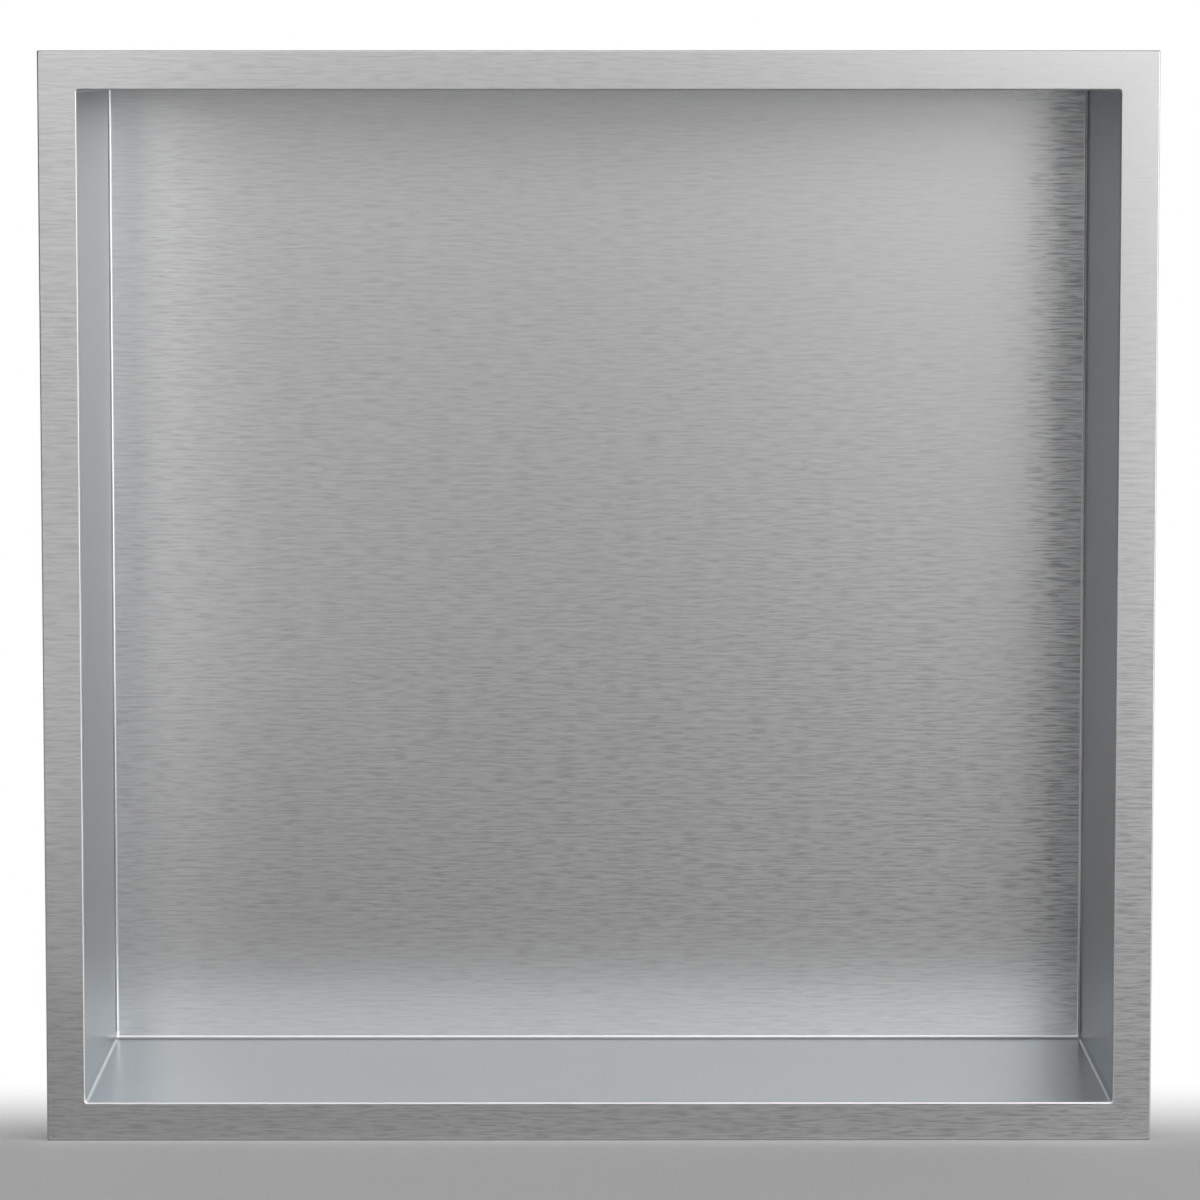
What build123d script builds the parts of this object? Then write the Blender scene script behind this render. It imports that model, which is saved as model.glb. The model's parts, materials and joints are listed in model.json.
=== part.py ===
"""Shower niche insert: one folded steel sheet that lines a recess in a tiled wall.

The sheet is a back panel with four walls folded forward from it, and a flat flange turned
outward all round the front edge. The corners are welded and ground, so it is one piece.
Millimetres, +Z up. The niche opens towards -Y, and y = 0 is the face of the wall that the
flange lies against, on the niche's centre line.
"""

from build123d import *
import os

# Driving dimensions
overall_width = 305.0
overall_height = 300.0
# from the front of the flange to the rear of the back panel
overall_depth = 101.0
# from the flange's free edge to the inner face of the wall beside it
flange_width = 10.75
sheet_thickness = 1.0
# inside the back bends and the welded corners, on the side that shows
inside_radius = 0.9
# inside the lip bend, on the hidden side where the flange meets the walls
lip_inside_radius = 0.2
# outside the lip bend, on the front, where the fold is pressed sharp
lip_outside_radius = 0.6
# rounding of the flange's free front edge and of its corners
edge_round = 0.5

# Worked out from the driving dimensions
opening_width = overall_width - 2 * flange_width
opening_height = overall_height - 2 * flange_width
flange_front = -sheet_thickness
wall_face = 0.0
back_rear = flange_front + overall_depth
back_front = back_rear - sheet_thickness
# the hidden side of the back bends and corners is one sheet thickness further out
outside_radius = inside_radius + sheet_thickness


def block(width, height, near, far):
    """A box on the niche's centre line, reaching from one depth to another."""
    size = Box(width, far - near, height, align=(Align.CENTER, Align.MIN, Align.CENTER))
    return Pos(0, near, 0) * size


def rounded(solid, end_face, radius):
    """Round the edges of one end of a box, and the four long edges that run into them."""
    return fillet(end_face.edges() + solid.edges().filter_by(Axis.Y), radius)


def flange():
    """The flat plate round the opening, with its free front edge and corners rounded."""
    plate = block(overall_width, overall_height, flange_front, wall_face)
    front = plate.faces().sort_by(Axis.Y)[0]
    return rounded(plate, front, edge_round)


def box_outside():
    """The outer form of the four walls and the back panel, starting at the flange's rear."""
    width = opening_width + 2 * sheet_thickness
    height = opening_height + 2 * sheet_thickness
    outside = block(width, height, wall_face, back_rear)
    back = outside.faces().sort_by(Axis.Y)[-1]
    return rounded(outside, back, outside_radius)


def cavity():
    """The hollow of the niche, from the front of the flange to the back panel."""
    hollow = block(opening_width, opening_height, flange_front, back_front)
    back = hollow.faces().sort_by(Axis.Y)[-1]
    return rounded(hollow, back, inside_radius)


def hole_edges(solid, depth):
    """The edges of the hole in the flange's flat face at this depth."""
    face = solid.faces().filter_by_position(Axis.Y, depth, depth).sort_by(SortBy.AREA)[-1]
    return face.inner_wires()[0].edges()


def niche_shell():
    """The whole sheet, with both sides of the lip bend rounded."""
    sheet = flange() + box_outside() - cavity()
    sheet = fillet(hole_edges(sheet, wall_face), lip_inside_radius)
    sheet = fillet(hole_edges(sheet, flange_front), lip_outside_radius)
    sheet.label = "niche_shell"
    return sheet


os.makedirs("parts", exist_ok=True)
shell = niche_shell()
export_step(shell, "parts/niche_shell.step")
print(f"niche_shell: {shell.volume / 1000:.1f} cubic centimetres of sheet")
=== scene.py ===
"""Looks of a shower niche insert: one folded sheet of brushed stainless steel on a pale studio floor."""

import json
import math

import bmesh
import bpy
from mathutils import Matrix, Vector


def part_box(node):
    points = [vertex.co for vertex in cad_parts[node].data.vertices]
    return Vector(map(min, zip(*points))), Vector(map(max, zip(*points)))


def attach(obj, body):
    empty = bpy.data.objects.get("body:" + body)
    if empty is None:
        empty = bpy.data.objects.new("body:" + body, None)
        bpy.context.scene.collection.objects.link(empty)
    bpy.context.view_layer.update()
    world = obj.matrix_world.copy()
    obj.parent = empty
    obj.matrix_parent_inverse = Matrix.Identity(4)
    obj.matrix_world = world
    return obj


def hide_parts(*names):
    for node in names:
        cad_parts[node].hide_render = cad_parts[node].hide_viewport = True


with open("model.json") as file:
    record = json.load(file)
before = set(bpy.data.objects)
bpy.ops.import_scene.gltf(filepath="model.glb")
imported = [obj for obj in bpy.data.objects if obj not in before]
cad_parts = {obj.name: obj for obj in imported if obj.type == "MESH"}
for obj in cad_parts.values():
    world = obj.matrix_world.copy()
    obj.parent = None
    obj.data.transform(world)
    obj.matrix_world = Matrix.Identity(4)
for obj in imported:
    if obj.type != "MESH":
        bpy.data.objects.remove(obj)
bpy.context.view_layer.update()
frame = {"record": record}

MM = 0.001

# Sizes and places read from the frame, in metres
mount_place = {mount["name"]: Vector(mount["pos_m"]) for mount in frame["record"]["mounts"]}
low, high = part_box("niche_shell")
front = low.y
wall_face = mount_place["flange_rear"].y
sheet = wall_face - front
back_front = high.y - sheet
shelf = mount_place["shelf"].z
half_opening_height = -shelf
flange_width = high.z - half_opening_height
half_opening_width = high.x - flange_width
left_bend, right_bend = -half_opening_width, half_opening_width
top_bend = half_opening_height
floor_height = low.z

# Roundings of the sheet, as it was folded and ground
inside_radius = 0.9 * MM
lip_radius = 0.6 * MM
edge_round = 0.5 * MM
bend_steps = 6
edge_steps = 4
crease_angle = math.radians(40)
# anything closer than this counts as lying on a plane or a line
touch = 0.01 * MM
# a face counts as facing front or back, or as edge-on, past these parts of its normal
face_on = 0.999
edge_on = 0.01

# The brushed finish
steel_tone = 0.485
# lighter colours of the bends, a painted highlight
bend_highlight_tone = 0.60
shelf_bend_highlight_tone = 0.78
steel_tint = (0.91, 0.96, 1.0, 1)
wall_roughness = 0.305
panel_roughness = 0.226
dash_roughness = 0.245
bend_roughness = 0.20
soft_bend_roughness = 0.39
# how far the reflections are drawn out, and their turn from the strokes, as a share of a full turn
drawn_out = 0.3
quarter_turn = 0.25
# the streaks' share in the marks, and the marks' mean
streak_share = 0.3
mean_mark = 0.63
# how far a full brush stroke leans sideways, as a slope
stroke_lean = 0.2

floor_reach = 2.6
lamp_height = 1.2


# Modelling the folded sheet


def select_only(piece):
    """Make this piece the only one that the next operators act on."""
    bpy.ops.object.select_all(action="DESELECT")
    piece.select_set(True)
    bpy.context.view_layer.objects.active = piece


def select_edges(piece, wanted):
    """In edit mode, select the edges for which the test holds, and nothing else."""
    bpy.ops.mesh.select_mode(type="EDGE")
    bpy.ops.mesh.select_all(action="DESELECT")
    shape = bmesh.from_edit_mesh(piece.data)
    for edge in shape.edges:
        if wanted(edge):
            edge.select_set(True)
    shape.select_flush_mode()
    bmesh.update_edit_mesh(piece.data)


def select_faces(piece, wanted):
    """In edit mode, select the faces for which the test holds, and nothing else."""
    bpy.ops.mesh.select_mode(type="FACE")
    bpy.ops.mesh.select_all(action="DESELECT")
    shape = bmesh.from_edit_mesh(piece.data)
    for face in shape.faces:
        face.select_set(wanted(face))
    bmesh.update_edit_mesh(piece.data)


def on_front(edge):
    return all(abs(v.co.y - front) < touch for v in edge.verts)


def past_opening(point):
    """How far a point lies outside the opening's straight sides, negative inside them."""
    return max(abs(point.x) - half_opening_width, abs(point.z) - half_opening_height)


def past_outline(point):
    """How far a point lies outside the flange's straight sides, negative inside them."""
    return max(abs(point.x) - high.x, abs(point.z) - high.z)


def on_opening(edge):
    return on_front(edge) and all(past_opening(v.co) < touch for v in edge.verts)


def on_free_edge(edge):
    """Edges of the flange's outline on its front face, its rounded corners included."""
    return on_front(edge) and all(past_outline(v.co) > -edge_round - touch for v in edge.verts)


def open_box():
    """The inside of the niche: a box with its front taken off and its bends rounded."""
    bpy.ops.object.select_all(action="DESELECT")
    middle = (0, (front + back_front) / 2, 0)
    bpy.ops.mesh.primitive_cube_add(size=1, location=middle)
    piece = bpy.context.object
    piece.name = "folded_niche_sheet"
    piece.scale = (2 * half_opening_width, back_front - front, 2 * half_opening_height)
    bpy.ops.object.transform_apply(location=True, rotation=False, scale=True)
    bpy.ops.object.mode_set(mode="EDIT")
    select_faces(piece, lambda face: face.normal.y < -face_on)
    bpy.ops.mesh.delete(type="ONLY_FACE")
    select_edges(piece, lambda edge: not on_front(edge))
    bpy.ops.mesh.bevel(offset=inside_radius, segments=bend_steps, profile=0.5, affect="EDGES")
    return piece


def add_flange(piece):
    """Turn the front edge outward into the flat flange, with rounded outer corners."""
    bpy.ops.mesh.select_all(action="DESELECT")
    bpy.ops.mesh.primitive_plane_add(size=1, location=(0, front, 0), rotation=(math.pi / 2, 0, 0))
    bpy.ops.transform.resize(value=(2 * high.x, 1, 2 * high.z), center_override=(0, front, 0))
    bpy.ops.mesh.bevel(offset=edge_round, segments=bend_steps, profile=0.5, affect="VERTICES")
    bpy.ops.mesh.delete(type="ONLY_FACE")
    select_edges(piece, lambda edge: on_front(edge) and len(edge.link_faces) < 2)
    bpy.ops.mesh.bridge_edge_loops()


def round_lip(piece):
    """Round the bend where the flange turns into the walls."""
    select_edges(piece, on_opening)
    bpy.ops.mesh.bevel(offset=lip_radius, segments=bend_steps, profile=0.5, affect="EDGES")


def face_the_room(piece):
    """Merge doubles and turn every face to the side that shows."""
    bpy.ops.mesh.select_all(action="SELECT")
    bpy.ops.mesh.remove_doubles(threshold=touch / 10)
    bpy.ops.mesh.normals_make_consistent(inside=False)
    shape = bmesh.from_edit_mesh(piece.data)
    back = max(shape.faces, key=lambda face: face.calc_center_median().y)
    if back.normal.y > 0:
        bpy.ops.mesh.flip_normals()


def give_thickness(piece):
    """Thicken the sheet away from the side that shows, and round the flange's free front edge."""
    bpy.ops.object.mode_set(mode="OBJECT")
    select_only(piece)
    solid = piece.modifiers.new("sheet thickness", "SOLIDIFY")
    solid.thickness = sheet
    solid.offset = -1
    solid.use_even_offset = True
    solid.material_offset = 1
    bpy.ops.object.modifier_apply(modifier=solid.name)
    bpy.ops.object.mode_set(mode="EDIT")
    select_edges(piece, on_free_edge)
    bpy.ops.mesh.bevel(offset=edge_round, segments=edge_steps, profile=0.5, affect="EDGES")
    bpy.ops.object.mode_set(mode="OBJECT")


def smooth_bends(piece):
    """Shade the bends round and the panels flat."""
    select_only(piece)
    bpy.ops.object.shade_smooth_by_angle(angle=crease_angle)
    even = piece.modifiers.new("flat panels", "WEIGHTED_NORMAL")
    even.keep_sharp = True
    bpy.ops.object.modifier_apply(modifier=even.name)


def lay_out_blank(piece):
    """A UV map in metres that unfolds the sheet to its flat blank, so that the grain follows it."""
    mesh = piece.data
    blank = mesh.uv_layers.new(name="blank")
    for face in mesh.polygons:
        centre = face.center
        side_wall = abs(centre.x) - half_opening_width > abs(centre.z) - half_opening_height
        for corner in face.loop_indices:
            place = mesh.vertices[mesh.loops[corner].vertex_index].co
            rise = back_front - place.y
            if side_wall:
                flat = (place.x + math.copysign(rise, centre.x), place.z)
            else:
                flat = (place.x, place.z + math.copysign(rise, centre.z))
            blank.uv[corner].vector = flat


def mark_panels_and_bends(piece):
    """Note on every face whether it is a panel facing the room, part of a bend, and of the lip's bend."""
    mesh = piece.data
    panel = mesh.attributes.new("panel", "FLOAT", "FACE")
    bend = mesh.attributes.new("bend", "FLOAT", "FACE")
    lip = mesh.attributes.new("lip", "FLOAT", "FACE")
    for face in mesh.polygons:
        turned = edge_on < abs(face.normal.y) < face_on and past_opening(face.center) < 2 * lip_radius
        panel.data[face.index].value = float(face.normal.y < -face_on)
        bend.data[face.index].value = float(turned)
        lip.data[face.index].value = float(turned and face.center.y < wall_face)


def folded_niche_sheet(show_finish, hidden_finish):
    piece = open_box()
    add_flange(piece)
    round_lip(piece)
    face_the_room(piece)
    piece.data.materials.append(show_finish)
    piece.data.materials.append(hidden_finish)
    give_thickness(piece)
    smooth_bends(piece)
    lay_out_blank(piece)
    mark_panels_and_bends(piece)
    return piece


# Nodes


def new_material(name):
    """A new material with its node tree and its Principled shader."""
    material = bpy.data.materials.new(name)
    material.use_nodes = True
    tree = material.node_tree
    return material, tree, tree.nodes["Principled BSDF"]


def add(tree, kind, settings=None, **values):
    """Add a node; settings are its options, values go to its sockets, by name or, as _0, by number."""
    node = tree.nodes.new(kind)
    for name, value in (settings or {}).items():
        setattr(node, name, value)
    for name, value in values.items():
        socket = node.inputs[int(name[1:])] if name[0] == "_" else node.inputs[name]
        if isinstance(value, bpy.types.NodeSocket):
            tree.links.new(value, socket)
        else:
            socket.default_value = value
    return node


def math_node(tree, operation, first, second=0.0):
    return add(tree, "ShaderNodeMath", {"operation": operation}, _0=first, _1=second).outputs[0]


def times(tree, *factors):
    """The product of all the factors."""
    product = factors[0]
    for factor in factors[1:]:
        product = math_node(tree, "MULTIPLY", product, factor)
    return product


def ramp(tree, value, start, end, low_value=0.0, high_value=1.0, smooth=True):
    """Blend from one value to another while the input goes from start to end."""
    blend = {"interpolation_type": "SMOOTHSTEP" if smooth else "LINEAR"}
    node = add(tree, "ShaderNodeMapRange", blend, _0=value, _1=start, _2=end, _3=low_value, _4=high_value)
    return node.outputs[0]


def mix_value(tree, factor, first, second):
    return add(tree, "ShaderNodeMix", {"data_type": "FLOAT"}, _0=factor, _2=first, _3=second).outputs[0]


def grey(tree, tone):
    return add(tree, "ShaderNodeCombineColor", None, Red=tone, Green=tone, Blue=tone).outputs[0]


def split(tree, vector):
    """The three parts of a vector."""
    return add(tree, "ShaderNodeSeparateXYZ", None, _0=vector).outputs


def place_on_piece(tree):
    return add(tree, "ShaderNodeTexCoord").outputs["Object"]


def place_on_blank(tree):
    return add(tree, "ShaderNodeUVMap", {"uv_map": "blank"}).outputs[0]


def face_note(tree, name):
    """What mark_panels_and_bends noted on each face under this name."""
    return add(tree, "ShaderNodeAttribute", {"attribute_name": name}).outputs["Fac"]


# Finish of the sheet


def stroke_noise(tree, along, across, length, width, detail, seed):
    """Noise drawn out along the grain: dashes of this length and width, in metres."""
    place = add(tree, "ShaderNodeCombineXYZ", None,
                X=math_node(tree, "DIVIDE", along, length),
                Y=math_node(tree, "DIVIDE", across, width), Z=seed)
    noise = add(tree, "ShaderNodeTexNoise", {"noise_dimensions": "3D"},
                Vector=place.outputs[0], Scale=1.0, Detail=detail, Roughness=0.55)
    return noise.outputs[0]


def brush_strokes():
    """The grain of brushed sheet: short dashes and longer streaks along the blank's first direction."""
    tree = bpy.data.node_groups.new("brush strokes", "ShaderNodeTree")
    tree.interface.new_socket("Blank", in_out="INPUT", socket_type="NodeSocketVector")
    for name in ("Dashes", "Streaks"):
        tree.interface.new_socket(name, in_out="OUTPUT", socket_type="NodeSocketFloat")
    inside = tree.nodes.new("NodeGroupInput")
    outside = tree.nodes.new("NodeGroupOutput")
    along, across, _ = split(tree, inside.outputs[0])
    # the dashes wander a little up and down, as a hand-held belt leaves them
    wander = stroke_noise(tree, along, across, length=12 * MM, width=5 * MM, detail=1.0, seed=3.0)
    across = math_node(tree, "ADD", times(tree, wander, 0.3 * MM), across)
    dashes = stroke_noise(tree, along, across, length=6.2 * MM, width=0.58 * MM, detail=2.0, seed=0.0)
    streaks = stroke_noise(tree, along, across, length=26 * MM, width=0.4 * MM, detail=1.0, seed=7.0)
    tree.links.new(ramp(tree, dashes, 0.26, 0.60), outside.inputs["Dashes"])
    tree.links.new(ramp(tree, streaks, 0.30, 0.70), outside.inputs["Streaks"])
    return tree


def stroke_contrast(tree, across, height):
    """How strongly the belt marked the sheet: harder towards the bottom, least at the top right."""
    left_foot, left_top = 0.33, 0.15
    right_foot, right_top = 0.44, 0.03
    on_left = ramp(tree, height, low.z, high.z, left_foot, left_top, smooth=False)
    on_right = ramp(tree, height, -105 * MM, 115 * MM, right_foot, right_top)
    return mix_value(tree, ramp(tree, across, low.x, high.x, smooth=False), on_left, on_right)


def leaning_normal(tree, lean):
    """The surface's normal, tipped sideways by this slope."""
    facing = add(tree, "ShaderNodeNewGeometry").outputs["Normal"]
    sideways = add(tree, "ShaderNodeCombineXYZ", None, X=lean).outputs[0]
    tipped = add(tree, "ShaderNodeVectorMath", {"operation": "ADD"}, _0=facing, _1=sideways).outputs[0]
    return add(tree, "ShaderNodeVectorMath", {"operation": "NORMALIZE"}, _0=tipped).outputs[0]


def painted_light_gain(tree, across, height, at_back, panel):
    """Painted light and shade by place, as a factor on the colour: 1 is the plain steel, and 1.1 a tenth
    lighter.
    """
    flange_gain, back_gain, back_gain_at_foot, top_gain = 0.10, 0.18, 0.05, 0.15
    wall_gain_at_foot, wall_gain_at_top = 0.08, -0.10
    # painted light beside the left-hand bend, on the flange and on the back
    by_left_bend = ramp(tree, across, left_bend + 5 * MM, left_bend + 55 * MM, 1.0, 0.0)
    on_flange = ramp(tree, height, -125 * MM, -95 * MM, 0.0, flange_gain)
    on_back = ramp(tree, height, shelf + 8 * MM, shelf + 35 * MM, back_gain_at_foot, back_gain)
    gain = times(tree, by_left_bend, mix_value(tree, at_back, on_flange, on_back))
    # painted light on the back under the top
    under_top = ramp(tree, height, top_bend - 10 * MM, top_bend - 2 * MM, 0.0, top_gain)
    gain = math_node(tree, "MAXIMUM", gain, times(tree, under_top, at_back))
    # painted light on the side walls towards their foot and painted shade towards their top, and not on
    # the shelf
    up_walls = ramp(tree, height, -110 * MM, 110 * MM, wall_gain_at_foot, wall_gain_at_top, smooth=False)
    off_shelf = ramp(tree, height, shelf + 1 * MM, shelf + 4 * MM)
    gain = mix_value(tree, panel, times(tree, up_walls, off_shelf), gain)
    return math_node(tree, "ADD", gain, 1.0)


def brushed_sheet_finish(strokes):
    """Steel brushed lengthwise: strokes on the panels that face the room, fine walls, and bends painted
    lighter as a highlight.
    """
    material, tree, shader = new_material("brushed stainless sheet")
    panel, bend, lip = (face_note(tree, name) for name in ("panel", "bend", "lip"))
    across, depth, height = split(tree, place_on_piece(tree))
    at_back = math_node(tree, "GREATER_THAN", depth, wall_face)
    by_shelf = ramp(tree, height, shelf + 1 * MM, shelf + 3 * MM, 1.0, 0.0)
    grain = add(tree, "ShaderNodeGroup", {"node_tree": strokes}, Blank=place_on_blank(tree))
    dashes, streaks = grain.outputs
    marks = math_node(tree, "SUBTRACT", mix_value(tree, streak_share, dashes, streaks), mean_mark)

    # on the back the belt was pressed hard into the right-hand bend, and lifted off above the shelf
    pressed_contrast, lifted_share, wall_contrast = 0.36, 0.5, 0.03
    lifted = ramp(tree, height, shelf + 8 * MM, shelf + 50 * MM, lifted_share, 1.0)
    pressed = ramp(tree, across, right_bend - 45 * MM, right_bend - 8 * MM, 0.0, pressed_contrast)
    plain = stroke_contrast(tree, across, height)
    on_back = times(tree, math_node(tree, "MAXIMUM", plain, pressed), lifted)
    contrast = mix_value(tree, panel, wall_contrast, mix_value(tree, at_back, plain, on_back))

    # beside that bend each stroke leans a little, so that it mirrors the dark wall there
    lean = times(tree, marks, pressed, at_back, panel, lifted, -stroke_lean)
    tree.links.new(leaning_normal(tree, lean), shader.inputs["Normal"])

    # painted highlight: the bends get a lighter colour, and those along the shelf most
    painted_bend_highlight = mix_value(tree, by_shelf, bend_highlight_tone, shelf_bend_highlight_tone)
    # the tone carries painted light and shade by place: beside the left-hand bend, under the top and on
    # the side walls
    tone = times(tree, mix_value(tree, bend, steel_tone, painted_bend_highlight),
                 painted_light_gain(tree, across, height, at_back, panel),
                 math_node(tree, "ADD", times(tree, marks, contrast), 1.0))
    tree.links.new(grey(tree, tone), shader.inputs["Base Color"])

    on_panels = mix_value(tree, dashes, panel_roughness, dash_roughness)
    soft = math_node(tree, "MAXIMUM", lip, by_shelf)
    on_bends = mix_value(tree, soft, bend_roughness, soft_bend_roughness)
    roughness = mix_value(tree, bend, mix_value(tree, panel, wall_roughness, on_panels), on_bends)
    tree.links.new(roughness, shader.inputs["Roughness"])

    along_blank = add(tree, "ShaderNodeTangent", {"direction_type": "UV_MAP", "uv_map": "blank"})
    tree.links.new(along_blank.outputs[0], shader.inputs["Tangent"])
    shader.inputs["Anisotropic"].default_value = drawn_out
    shader.inputs["Anisotropic Rotation"].default_value = quarter_turn
    shader.inputs["Metallic"].default_value = 1
    shader.inputs["Specular Tint"].default_value = steel_tint
    return material


def weld_seam(tree, across, height):
    """Where a corner was welded and ground: near it, and close to its mitre."""
    beside = math_node(tree, "SUBTRACT", math_node(tree, "ABSOLUTE", across), half_opening_width + sheet)
    above = math_node(tree, "SUBTRACT", math_node(tree, "ABSOLUTE", height), half_opening_height + sheet)
    near_corner = ramp(tree, math_node(tree, "MINIMUM", beside, above), -4.5 * MM, -2.5 * MM)
    off_mitre = math_node(tree, "ABSOLUTE", math_node(tree, "SUBTRACT", beside, above))
    return times(tree, near_corner, ramp(tree, off_mitre, 2 * MM, 4 * MM, 1.0, 0.0))


def mill_sheet_finish(strokes):
    """The hidden side as it left the mill: dull, long rolling lines, corners welded and ground."""
    rolled_dark, rolled_light = 0.39, 0.43
    ground_dark, ground_light = 0.40, 0.50
    rolled_glossy, rolled_dull, ground_roughness = 0.46, 0.53, 0.36
    straw_colour = (1.0, 0.955, 0.88, 1)
    # most of the noise lies between these values
    noise_low, noise_high = 0.3, 0.7
    material, tree, shader = new_material("mill finished sheet")
    place = place_on_piece(tree)
    across, depth, height = split(tree, place)
    seam = weld_seam(tree, across, height)
    clouds = add(tree, "ShaderNodeTexNoise", None, Vector=place, Scale=22.0, Detail=3.0, Roughness=0.5)
    clouds = clouds.outputs[0]
    long_blank = add(tree, "ShaderNodeMapping", None, Vector=place_on_blank(tree), Scale=(0.2, 0.8, 1))
    rolling = add(tree, "ShaderNodeGroup", {"node_tree": strokes}, Blank=long_blank.outputs[0])
    rolled = times(tree, ramp(tree, clouds, noise_low, noise_high, rolled_dark, rolled_light),
                   mix_value(tree, rolling.outputs["Streaks"], 0.95, 1.03))
    scratches = stroke_noise(tree, depth, math_node(tree, "ADD", across, height),
                             length=0.35 * MM, width=5 * MM, detail=1.0, seed=5.0)
    ground = ramp(tree, scratches, noise_low, noise_high, ground_dark, ground_light)
    # a trace of straw colour is left where the welds were ground off
    tint = add(tree, "ShaderNodeMix", {"data_type": "RGBA", "blend_type": "MULTIPLY"}, _0=seam,
               _6=grey(tree, mix_value(tree, seam, rolled, ground)), _7=straw_colour)
    tree.links.new(tint.outputs[2], shader.inputs["Base Color"])
    dullness = ramp(tree, clouds, noise_low, noise_high, rolled_glossy, rolled_dull)
    roughness = mix_value(tree, seam, dullness, ground_roughness)
    tree.links.new(roughness, shader.inputs["Roughness"])
    shader.inputs["Metallic"].default_value = 1
    return material


# Stage, light and camera


def studio_floor():
    bpy.ops.object.select_all(action="DESELECT")
    bpy.ops.mesh.primitive_circle_add(vertices=96, radius=floor_reach, fill_type="NGON",
                                      location=(0, 0, floor_height))
    floor = bpy.context.object
    floor.name = "studio_floor"
    bpy.ops.object.transform_apply(location=True, rotation=False, scale=True)
    floor.data.materials.append(floor_finish())


def floor_finish():
    """Pale matt floor that turns into the white backdrop behind the niche."""
    material, tree, shader = new_material("pale floor")
    shader.inputs["Base Color"].default_value = (0.8, 0.8, 0.8, 1)
    shader.inputs["Roughness"].default_value = 0.9
    shader.inputs["Specular IOR Level"].default_value = 0.2
    away = split(tree, place_on_piece(tree))[1]
    rays = add(tree, "ShaderNodeLightPath").outputs
    seen = math_node(tree, "MAXIMUM", rays["Is Camera Ray"], rays["Is Glossy Ray"])
    seen = math_node(tree, "MAXIMUM", seen, rays["Is Transmission Ray"])
    white = add(tree, "ShaderNodeEmission", None, Color=(1, 1, 1, 1), Strength=1.0)
    share = times(tree, seen, ramp(tree, away, -20 * MM, 90 * MM))
    both = add(tree, "ShaderNodeMixShader", None, _0=share, _1=shader.outputs[0], _2=white.outputs[0])
    tree.links.new(both.outputs[0], tree.nodes["Material Output"].inputs["Surface"])
    return material


def studio_world():
    """Room light: windows to both sides of the view, dim straight ahead and to the left, white behind."""
    # brightness of the room below and above eye level, straight ahead and to each side
    ahead_low, left_low, right_low = 0.61, 0.64, 0.74
    ahead_high, left_high, right_high = 0.2, 2.98, 3.5
    # above these windows, at the far right of them, and the ceiling
    top_level, far_right_top, ceiling = 3.3, 1.0, 0.15
    left_side_level, left_pane_level = 0.05, 0.65
    backdrop_level, backdrop_top = 1.0, 0.2
    world = bpy.data.worlds.new("studio")
    bpy.context.scene.world = world
    world.use_nodes = True
    tree = world.node_tree
    across, away, up = split(tree, add(tree, "ShaderNodeTexCoord").outputs["Generated"])
    beside = ramp(tree, math_node(tree, "ABSOLUTE", across), 0.03, 0.11)
    right = ramp(tree, across, -0.05, 0.05)
    low_window = mix_value(tree, beside, ahead_low, mix_value(tree, right, left_low, right_low))
    high_window = mix_value(tree, beside, ahead_high, mix_value(tree, right, left_high, right_high))
    top_window = ramp(tree, across, 0.30, 0.50, top_level, far_right_top)
    window = mix_value(tree, ramp(tree, up, -0.02, 0.06), low_window, high_window)
    window = mix_value(tree, ramp(tree, up, 0.14, 0.26), window, top_window)
    window = mix_value(tree, ramp(tree, up, 0.30, 0.50), window, ceiling)
    # to the left there is only one dim high window
    left_pane = times(tree, ramp(tree, across, -0.57, -0.47), ramp(tree, up, 0.06, 0.16),
                      ramp(tree, up, 0.30, 0.50, 1.0, 0.0))
    left_side = mix_value(tree, left_pane, left_side_level, left_pane_level)
    level = mix_value(tree, ramp(tree, across, -0.22, -0.12), left_side, window)
    backdrop = ramp(tree, up, 0.1, 0.4, backdrop_level, backdrop_top)
    level = mix_value(tree, ramp(tree, away, -0.1, 0.5), level, backdrop)
    tree.links.new(level, tree.nodes["Background"].inputs["Strength"])
    tree.nodes["Background"].inputs["Color"].default_value = (1, 1, 1, 1)


def aim(thing, target):
    thing.rotation_euler = (Vector(target) - thing.location).to_track_quat("-Z", "Y").to_euler()


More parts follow.
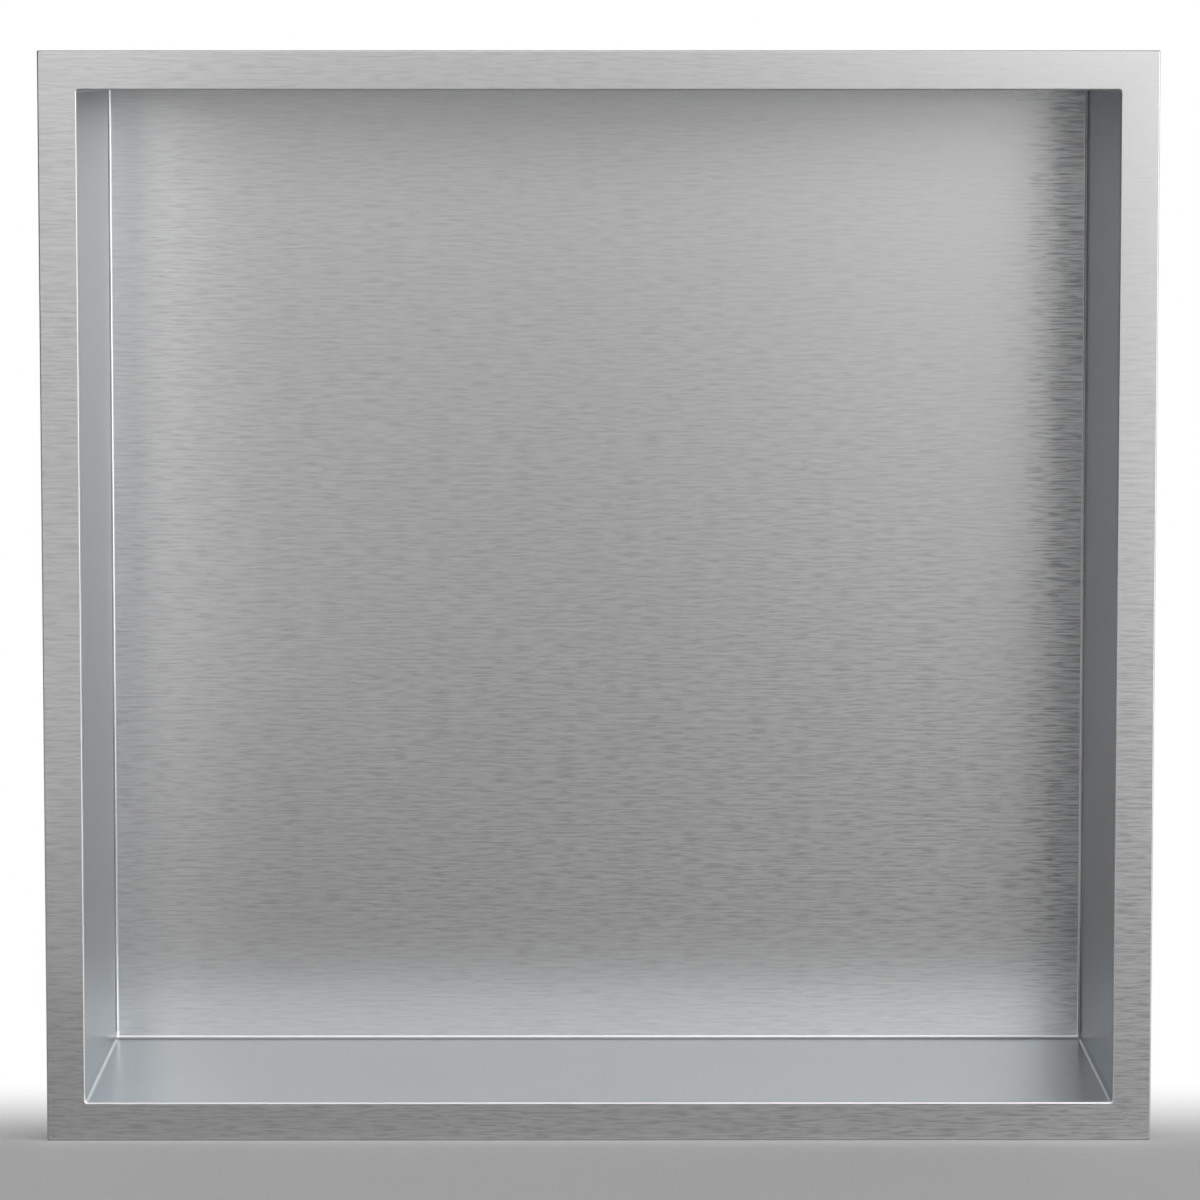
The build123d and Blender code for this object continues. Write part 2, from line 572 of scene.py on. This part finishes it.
def soft_box(name, place, target, size, level, spread=180, on_floor=True):
    """A soft light of this width and height whose surface has this brightness, aimed at a point."""
    lamp = bpy.data.lights.new(name, "AREA")
    lamp.shape = "RECTANGLE"
    lamp.size, lamp.size_y = size
    lamp.energy = level * math.pi * size[0] * size[1]
    lamp.spread = math.radians(spread)
    holder = bpy.data.objects.new(name, lamp)
    bpy.context.scene.collection.objects.link(holder)
    holder.location = place
    holder.visible_camera = False
    holder.visible_diffuse = on_floor
    aim(holder, target)


def floor_light(name, across, away, size, level, spread):
    """A narrow lamp straight above a spot of the floor, which the steel mirrors."""
    soft_box(name, (across, away, lamp_height), (across, away, floor_height), size, level, spread)


def card(name, place, target, size, level):
    """A soft light that lights only the steel and leaves the floor as it is."""
    soft_box(name, place, target, size, level, on_floor=False)


def studio_light():
    soft_box("top light", (0.15, -0.15, 1.35), (0.15, -0.1, 0), size=(1.2, 0.3), level=4.0)
    floor_light("floor light left", -0.4, -1.6, size=(0.3, 0.7), level=0.96, spread=30)
    floor_light("near floor light left", -0.32, -0.95, size=(0.2, 0.5), level=2.86, spread=20)
    floor_light("floor light right", 0.8, -1.5, size=(0.5, 0.8), level=4.85, spread=60)
    card("front card", (0.27, -1.0, 1.23), (0, 0, 0), size=(2.2, 0.9), level=1.0)
    card("side card", (0.55, -0.42, 0.13), (-0.14, 0.05, 0.13), size=(0.5, 0.54), level=1.7)
    card("low side card", (0.55, -0.42, -0.05), (-0.14, 0.05, -0.05), size=(0.5, 0.2), level=2.0)


def camera():
    """A long lens, a little left of the middle and looking slightly down into the niche."""
    to_the_left, distance, above_middle = 2.7 * MM, 1520.6 * MM, 150 * MM
    look_down, turn_right = math.radians(5.627), math.radians(0.114)
    data = bpy.data.cameras.new("camera")
    data.sensor_width = 36
    data.lens = 167.37
    holder = bpy.data.objects.new("camera", data)
    bpy.context.scene.collection.objects.link(holder)
    holder.location = (-to_the_left, front - distance, above_middle)
    holder.rotation_euler = (math.pi / 2 - look_down, 0, -turn_right)
    bpy.context.scene.camera = holder


strokes = brush_strokes()
niche = folded_niche_sheet(brushed_sheet_finish(strokes), mill_sheet_finish(strokes))
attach(niche, "root")
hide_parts("niche_shell")
studio_floor()
studio_world()
studio_light()
camera()
bpy.context.scene.view_settings.view_transform = "Standard"
